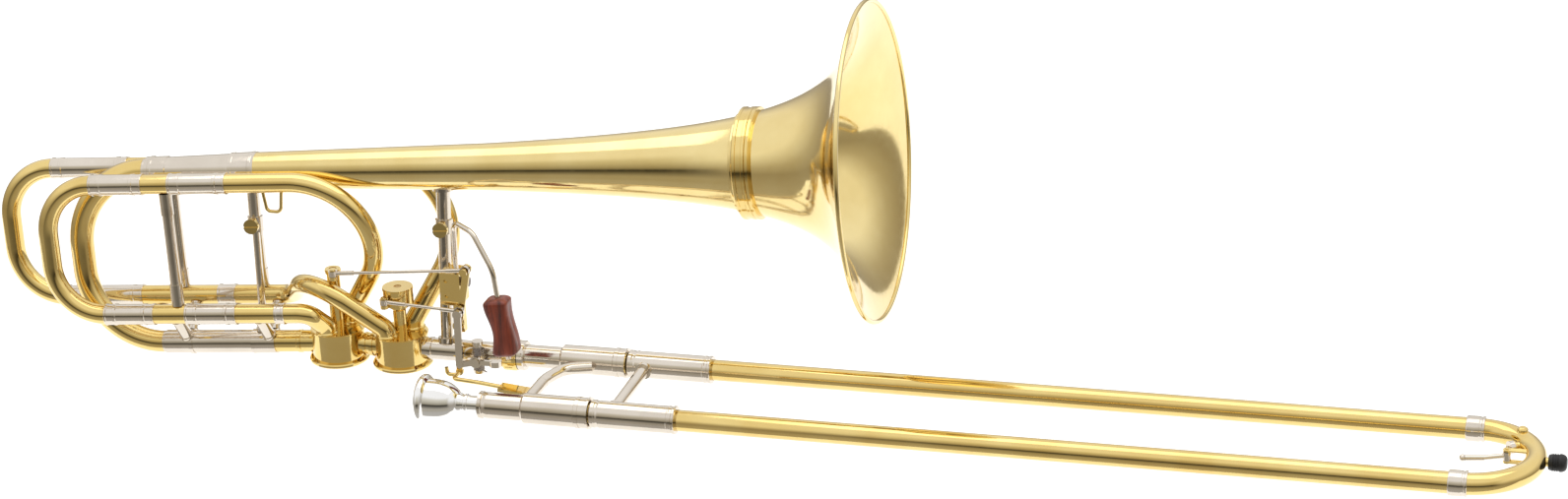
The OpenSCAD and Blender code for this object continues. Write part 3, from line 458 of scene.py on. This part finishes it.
def make_bell():
    axis = bell_at(0, 0, AXIS_H)
    n = 20
    bead = [(RIM_S + 1.9 * math.cos(2 * math.pi * i / n), 119.15 + 1.9 * math.sin(2 * math.pi * i / n))
            for i in range(n)]
    crease = [(RIM_S - 2.9, 116.6), (RIM_S - 2.2, 117.8), (RIM_S - 1.2, 117.6), (RIM_S - 1.6, 116.4)]
    finish_mesh("bell_flare_skin", *merged(turned(bell_skin(0.4, 86, 60), axis, 160), turned(bead, axis, 160),
                                           turned(crease, axis, 160)),
                "bell_front", SLOT_OF["bell_flare"], ["bell_flare"])
    seat = [(336.3, 35.4), (336.3, 36.8), (336.8, 37.7), (337.6, 38.0), (338.6, 37.5), (339.3, 37.5), (339.3, 35.8)]
    finish_mesh("bell_stem_skin", *merged(turned(bell_skin(99.5, 484.3, 70), axis, 128), turned(seat, axis, 128)),
                "bell_section", SLOT_OF["bell_stem"], ["bell_stem"])
    finish_mesh("upper_socket_turned", *turned(
        [(-136.5, 9.4), (-136.5, 11.0), (-136.2, 11.6), (-133, 11.7), (-132.6, 12.1), (-130.5, 12.15), (-130, 11.7),
         (-119, 11.9), (-118.5, 11.2), (-68, 12.98), (-66.8, 13.1), (-66.4, 13.9), (-63.8, 14.0), (-63.3, 13.7),
         (-50.4, 14.15), (-50, 14.5), (-48, 14.55), (-47.6, 14.3), (-46.2, 14.4), (-45.8, 14.0), (-45.8, 12.9),
         (-48.8, 12.9), (-48.8, 9.4)], axis, 96), "bell_section", SLOT_OF["upper_socket"], ["upper_socket"])


def make_rings():
    axis = bell_at(0, 0, AXIS_H)
    ring = RIM_S - 86
    male = [(ring - 10, 37.4), (ring - 10, 38.5), (ring - 9.4, 38.9), (ring - 2.2, 38.9), (ring - 2.2, 42.1),
            (ring - 1.8, 42.4), (ring + 0.3, 42.4), (ring + 0.8, 42.0), (ring + 1, 41.2), (ring + 1, 39.1)]
    finish_mesh("bell_ring_male_turned", *turned(male, axis, 128), "bell_front", SLOT_OF["bell_ring_male"],
                ["bell_ring_male"])
    body = [(ring - 13.5, 36), (ring - 13.5, 38.2), (ring - 12.6, 38.9), (ring - 12.2, 39.6), (ring - 12, 41.8),
            (ring - 11.6, 42.4), (ring - 9.6, 42.4), (ring - 9.2, 41.9), (ring - 5.2, 41.9), (ring - 4.8, 42.4),
            (ring - 2.8, 42.4), (ring - 2.4, 42.0), (ring - 2.4, 39), (ring - 10.2, 39), (ring - 10.2, 36)]
    finish_mesh("bell_ring_female_turned", *turned(body, axis, 128), "bell_section", SLOT_OF["bell_ring_female"],
                ["bell_ring_female"])


def bow_line(steps=64):
    pts, back, r, flat = [], 198.5, 60.0, AXIS_H - 120
    depth = back - r
    for i in range(steps + 1):
        t = i / steps
        if t < 0.45:
            a = math.radians(t / 0.45 * 90)
            q = (-depth - r * math.sin(a), r - r * math.cos(a))
        elif t > 0.55:
            a = math.radians((t - 0.55) / 0.45 * 90)
            q = (-depth - r * math.cos(a), AXIS_H - r + r * math.sin(a))
        else:
            q = (-back, r + flat * (t - 0.45) * 10)
        pts.append(BELL @ Vector((q[0], 0, q[1])))
    return pts


def make_bows():
    finish_mesh("main_bow_drawn", *swept(bow_line(), lambda f: 8.4 + 1.6 * f, lambda f: 7.7 + 1.6 * f, 48),
                "tuning_slide", SLOT_OF["main_bow"], ["main_bow"])
    for tag, side, back, arc in (("a", -SIDE, 214.0, -174.0), ("b", SIDE, 267.0, -227.0)):
        line = path_points([(arc, side, LOW), (-back, side, LOW), (-back, side, TOP), (arc, side, TOP)],
                           [39.99, 39.99], 3)
        pts = [BELL @ q for q in line]
        node = f"loop_{tag}_bow"
        finish_mesh(node + "_drawn", *swept(pts, 7.6, 6.9, 48), f"loop_{tag}_slide", SLOT_OF[node], [node])


def make_bends():
    inv = BELL.inverted()

    def port(x, p, z):
        return inv @ Vector((x + p[0], p[1], z))
    ax, bx = VALVE_A_X, VALVE_B_X
    runs = {
        "loop_a_bend": [
            ([port(ax, (-4, -12.3), 10.5), port(ax, (-4, -12.3), 17.5), (-8, -SIDE, LOW), (-134, -SIDE, LOW)],
             [9.5, 12]),
            ([(-131.5, -SIDE, TOP), (92, -SIDE, TOP), port(ax, (5, 12), 17.5), port(ax, (5, 12), 10.5)],
             [56, 9.5])],
        "loop_b_bend": [
            ([port(bx, (-7.5, -10.3), 10.5), port(bx, (-7.5, -10.3), 17.5), (-8, -25, 60), (-38, SIDE, LOW),
              (-163.6, SIDE, LOW)], [9.5, 34, 16]),
            ([(-164, SIDE, TOP), (141, SIDE, TOP), port(bx, (7, 11), 17.5), port(bx, (7, 11), 10.5)], [54, 9.5])],
    }
    for node, tubes in runs.items():
        parts = []
        for corners, bends in tubes:
            pts = [BELL @ q for q in path_points(corners, bends, 3)]
            parts.append(swept(pts, 7.6, 6.9, 48))
        # a solder collar where each tube stands on its casing
        for corners, _ in tubes:
            for a, b in ((corners[0], corners[1]), (corners[-1], corners[-2])):
                a, b = BELL @ Vector(a), BELL @ Vector(b)
                if a.z < 11 and b.z < 20 and abs(a.x - b.x) < 0.5:
                    m = frame_along(a, b)
                    parts.append(turned([(1.9, 7.3), (1.9, 8.3), (2.6, 8.4), (3.4, 8.0), (3.9, 7.3)], m, 48))
        finish_mesh(node + "_drawn", *merged(*parts), "bell_section", SLOT_OF[node], [node])


def ferrule(x0, x1, r, inner):
    """A ferrule with a stepped bead at each end."""
    return [(x0, inner), (x0, r + 0.25), (x0 + 0.3, r + 0.5), (x0 + 1.6, r + 0.5), (x0 + 1.9, r + 0.05),
            (x0 + 7, r + 0.05), (x0 + 7.3, r + 0.45), (x0 + 9.4, r + 0.45), (x0 + 9.8, r),
            (x1 - 9.8, r), (x1 - 9.4, r + 0.45), (x1 - 7.3, r + 0.45), (x1 - 7, r + 0.05), (x1 - 1.9, r + 0.05),
            (x1 - 1.6, r + 0.5), (x1 - 0.3, r + 0.5), (x1, r + 0.25), (x1, inner)]


def plain_collar(x0, x1, r, inner):
    return [(x0, inner), (x0, r), (x0 + 0.4, r + 0.4), (x0 + 2, r + 0.4), (x0 + 2.4, r), (x1 - 2.4, r),
            (x1 - 2, r + 0.4), (x1 - 0.4, r + 0.4), (x1, r), (x1, inner)]


def make_sockets():
    parts = [turned(ferrule(-173.7, -130.5, 8, 7.4), bell_at(0, -SIDE, TOP), 64),
             turned(ferrule(-109, -62.3, 8, 7.6), bell_at(0, -SIDE, TOP), 64),
             turned(ferrule(-173.7, -133, 8, 7.4), bell_at(0, -SIDE, LOW), 64),
             turned(ferrule(-107, -65.5, 8, 7.6), bell_at(0, -SIDE, LOW), 64),
             turned(plain_collar(-34, -26, 8, 7.6), bell_at(0, -SIDE, LOW), 64)]
    finish_mesh("loop_a_sockets_turned", *merged(*parts), "bell_section", SLOT_OF["loop_a_sockets"],
                ["loop_a_sockets"])
    parts = [turned(ferrule(-226.7, -163, 8, 7.4), bell_at(0, SIDE, TOP), 64),
             turned(ferrule(-226.7, -162.6, 8, 7.4), bell_at(0, SIDE, LOW), 64),
             turned(plain_collar(-99.8, -85, 8, 7.6), bell_at(0, SIDE, LOW), 64)]
    finish_mesh("loop_b_sockets_turned", *merged(*parts), "bell_section", SLOT_OF["loop_b_sockets"],
                ["loop_b_sockets"])


# ---------- the hand rest ----------
def make_rest():
    low, top = Vector((4, -38, 18)), Vector((-1, -38, 63.5))
    u = (low - top).normalized()
    line = path_points([(-48.5, 1.5, 50), (-41.6, -13.6, 113), (-21, -29, 111.5), tuple(top - u * 22),
                        tuple(low + u * 4)], [10, 11, 24], 5)
    finish_mesh("rest_rod_bent", *swept(line, 2.1, None, 32), "hand_rest", SLOT_OF["rest_rod"], ["rest_rod"])
    # a hand-shaped block: a rounded square that waists, leans and swells, with softened ends
    axis = (top - low).normalized()
    side = Vector((0, 1, 0))
    face = side.cross(axis).normalized()
    h = (top - low).length
    rows, segs = 44, 72
    verts, faces = [], []
    for i in range(rows + 1):
        f = i / rows
        end = min(f, 1 - f) * h
        soft_end = 1 - 0.30 * max(0.0, 1 - end / 3.2) ** 2
        wide = (9.0 + 0.9 * math.cos(2 * math.pi * f)) * soft_end
        deep = (8.6 - 0.9 * math.sin(math.pi * f) ** 2) * soft_end
        sway = 1.1 * math.sin(2 * math.pi * (f - 0.1))
        for k in range(segs):
            a = 2 * math.pi * k / segs
            c, s = math.cos(a), math.sin(a)
            n = 5.0
            q = (abs(c) ** n + abs(s) ** n) ** (-1 / n)
            groove = 0.5 * max(0.0, math.cos(2 * a)) ** 8 * math.sin(math.pi * f)
            verts.append(low + axis * (f * h) + face * (q * c * wide + sway - groove * c) + side * (q * s * deep))
    for i in range(rows):
        for k in range(segs):
            j = (k + 1) % segs
            faces.append((i * segs + k, i * segs + j, (i + 1) * segs + j, (i + 1) * segs + k))
    faces.append(tuple(range(segs)))
    faces.append(tuple(rows * segs + k for k in range(segs)))
    finish_mesh("rest_block_carved", verts, faces, "hand_rest", SLOT_OF["rest_block"], ["rest_block"], 50)


# ---------- the hand slide ----------
def make_slide():
    crook_m = Matrix.Translation((729, -46, 0))
    arc = [crook_m @ Vector((CROOK_R * math.sin(a), -CROOK_R * math.cos(a), 0))
           for a in (math.pi * i / 60 for i in range(61))]
    parts = [swept(arc, 8.0, 7.72, 48)]
    out = crook_m @ Matrix.Translation((52.5, 0, 0))
    parts.append(turned([(0, 0), (0, 3.4), (3.6, 3.4), (4.1, 3.9), (4.7, 3.9), (5, 3.3), (5, 0)], out, 40))
    cup = crook_m @ Matrix.Rotation(math.radians(36.5), 4, "Z") @ Matrix.Translation((34.6, 0, 0))
    parts.append(turned([(0, 1.6), (0, 2.7), (0.5, 3.3), (2, 3.3), (2.6, 2.9), (5, 3.2), (5, 1.6)], cup, 40))
    button = crook_m @ Matrix.Rotation(math.radians(45), 4, "Z") @ Matrix.Translation((46, 0, 7)) \
        @ Matrix.Rotation(math.radians(-90), 4, "Y")
    parts.append(turned([(0, 0), (0, 4.0), (1.8, 4.0), (2.6, 3.5), (3.4, 2.4), (3.4, 0)], button, 40))
    for z in (-5.4, 3.6):
        lug = Matrix.Translation((754, -41, z)) @ Matrix.Rotation(math.radians(-90), 4, "Y")
        parts.append(turned([(0, 1.2), (0, 2.5), (0.3, 2.8), (1.5, 2.8), (1.8, 2.5), (1.8, 1.2)], lug, 32))
        parts.append(swept([Vector((755, -41, z + 0.9)), Vector((768, -41, z + 0.9))], 0.9, None, 16))
        parts.append(swept([Vector((755, -42.6, z + 0.9)), Vector((768.4, -42.6, z + 0.9))], 0.9, None, 16))
        parts.append(swept([Vector((755, -39.4, z + 0.9)), Vector((767.4, -39.4, z + 0.9))], 0.9, None, 16))
    pin = Matrix.Translation((754, -41, -6.2)) @ Matrix.Rotation(math.radians(-90), 4, "Y")
    parts.append(turned([(0, 0), (0, 0.8), (0.5, 1.2), (11.9, 1.2), (12.4, 0.8), (12.4, 0)], pin, 24))
    finish_mesh("crook_drawn", *merged(*parts), "outer_slide", SLOT_OF["crook"], ["crook"])

    grip = Matrix.Translation((0, -46, 0))
    tread = [(784, 3.4), (784, 5.1), (784.5, 5.5), (786, 5.9)]
    for x in (787.2, 788.9, 790.6):
        tread += [(x, 6.3), (x + 0.3, 5.85), (x + 0.8, 5.85), (x + 1.1, 6.35)]
    tread += [(792.6, 6.5), (794, 6.3), (795.4, 5.7), (796.4, 4.8), (797, 3.4), (797, 0), (786.5, 0), (786.5, 3.4)]
    finish_mesh("bumper_moulded", *turned(tread, grip, 64), "outer_slide", SLOT_OF["bumper"], ["bumper"])

    sleeves = []
    for y in (0, -SLIDE_W):
        m = Matrix.Translation((0, y, 0))
        sleeves.append(turned([(87.2, 7.95), (87.2, 9.7), (87.6, 10.2), (88.2, 10.6), (90.8, 10.6), (91.4, 10.2),
                               (93.4, 10.2), (93.8, 10.4), (94.8, 10.4), (95.2, 10.2), (147, 10.2), (147.3, 10.4),
                               (148.3, 10.4), (148.6, 10.2), (150.5, 10.2), (151, 10.6), (152.6, 10.6),
                               (153, 10.2), (153, 7.95)], m, 72))
        sleeves.append(turned([(720, 7.95), (720, 9.0), (720.4, 9.3), (721.5, 9.4), (729.4, 9.4), (729.8, 9.2),
                               (730.2, 9.0), (731.4, 9.0), (731.8, 9.4), (732.2, 9.5), (733.2, 9.5), (733.5, 9.2),
                               (733.5, 7.95)], m, 72))
    finish_mesh("outer_sleeves_turned", *merged(*sleeves), "outer_slide", SLOT_OF["outer_sleeves"],
                ["outer_sleeves"])
    tubes = []
    for y in (0, -SLIDE_W):
        m = Matrix.Translation((0, y, 0))
        tubes.append(turned([(79.5, 7.72), (79.5, 7.9), (79.7, 8), (729, 8), (729, 7.72)], m, 72))
    finish_mesh("outer_tubes_drawn", *merged(*tubes), "outer_slide", SLOT_OF["outer_tubes"], ["outer_tubes"])


def make_mouthpiece():
    x0 = -47.5

    def curve(points, n=6):
        """A smooth line through the points (Catmull-Rom)."""
        out = []
        for i in range(len(points) - 1):
            p0, p1 = points[max(i - 1, 0)], points[i]
            p2, p3 = points[i + 1], points[min(i + 2, len(points) - 1)]
            for k in range(n):
                t = k / n
                out.append(tuple(0.5 * (2 * p1[c] + (p2[c] - p0[c]) * t
                                        + (2 * p0[c] - 5 * p1[c] + 4 * p2[c] - p3[c]) * t * t
                                        + (3 * p1[c] - p0[c] - 3 * p2[c] + p3[c]) * t ** 3) for c in (0, 1)))
        return out + [points[-1]]
    rim = curve([(5, 13.6), (1.6, 13.9), (0.3, 15.5), (0, 16.8), (0.5, 18.4), (2, 19.5), (3.6, 19.8), (5.2, 19.2),
                 (6.4, 17.8), (7, 16.8)])
    cup = curve([(7, 16.8), (12, 16.6), (19, 15.6), (25, 13.2), (29, 10.2), (31, 8.2), (33.4, 7.2)])[1:]
    neck = [(33.7, 6.7), (35, 6.6), (35.4, 7.0), (36, 7.3), (37.4, 7.3), (38, 7.0), (38.4, 6.5), (40, 6.3)]
    shank = [(47.5, 6.3), (88, 5.64), (88, 4.9)]
    bore = curve([(68, 4.2), (36, 3.9), (30, 4.4), (26, 6), (20, 10), (12, 12.8), (5, 13.6)])[:-1]
    outline = [(x0 + x, r) for x, r in rim + cup + neck + shank + bore]
    finish_mesh("mouthpiece_turned", *turned(outline, Matrix.Translation((0, -SLIDE_W, 0)), 96), "mouthpiece_body",
                SLOT_OF["mouthpiece"], ["mouthpiece"])


def make_spring():
    parts = []
    for sgn in (-1, 1):
        pts = []
        for i in range(7 * 20 + 1):
            a = 2 * math.pi * i / 20
            z = sgn * (3.1 + 6.4 * i / 140)
            pts.append(Vector((-30 + 3.75 * math.cos(a * sgn), -12.2 + 3.75 * math.sin(a * sgn), z)))
        pts.append(pts[-1] + Vector((3.0, -2.2, 0.2 * sgn)))
        parts.append(swept(pts, 0.5, None, 12))
    finish_mesh("trigger_spring_coiled", *merged(*parts), "bell_section", SLOT_OF["trigger_spring"],
                ["trigger_spring"])


make_bell()
make_rings()
make_bows()
make_bends()
make_sockets()
make_rest()
make_slide()
make_mouthpiece()
make_spring()

# ---------- carried-over CAD nodes ----------
for name, o in NODES.items():
    me = o.data
    me.materials.clear()
    me.materials.append(MATS[SLOT_OF[name]])
    for p in me.polygons:
        p.use_smooth = True
    w = o.modifiers.new("weld", "WELD")
    w.merge_threshold = 2e-6
    e = o.modifiers.new("split", "EDGE_SPLIT")
    e.split_angle = math.radians(33)
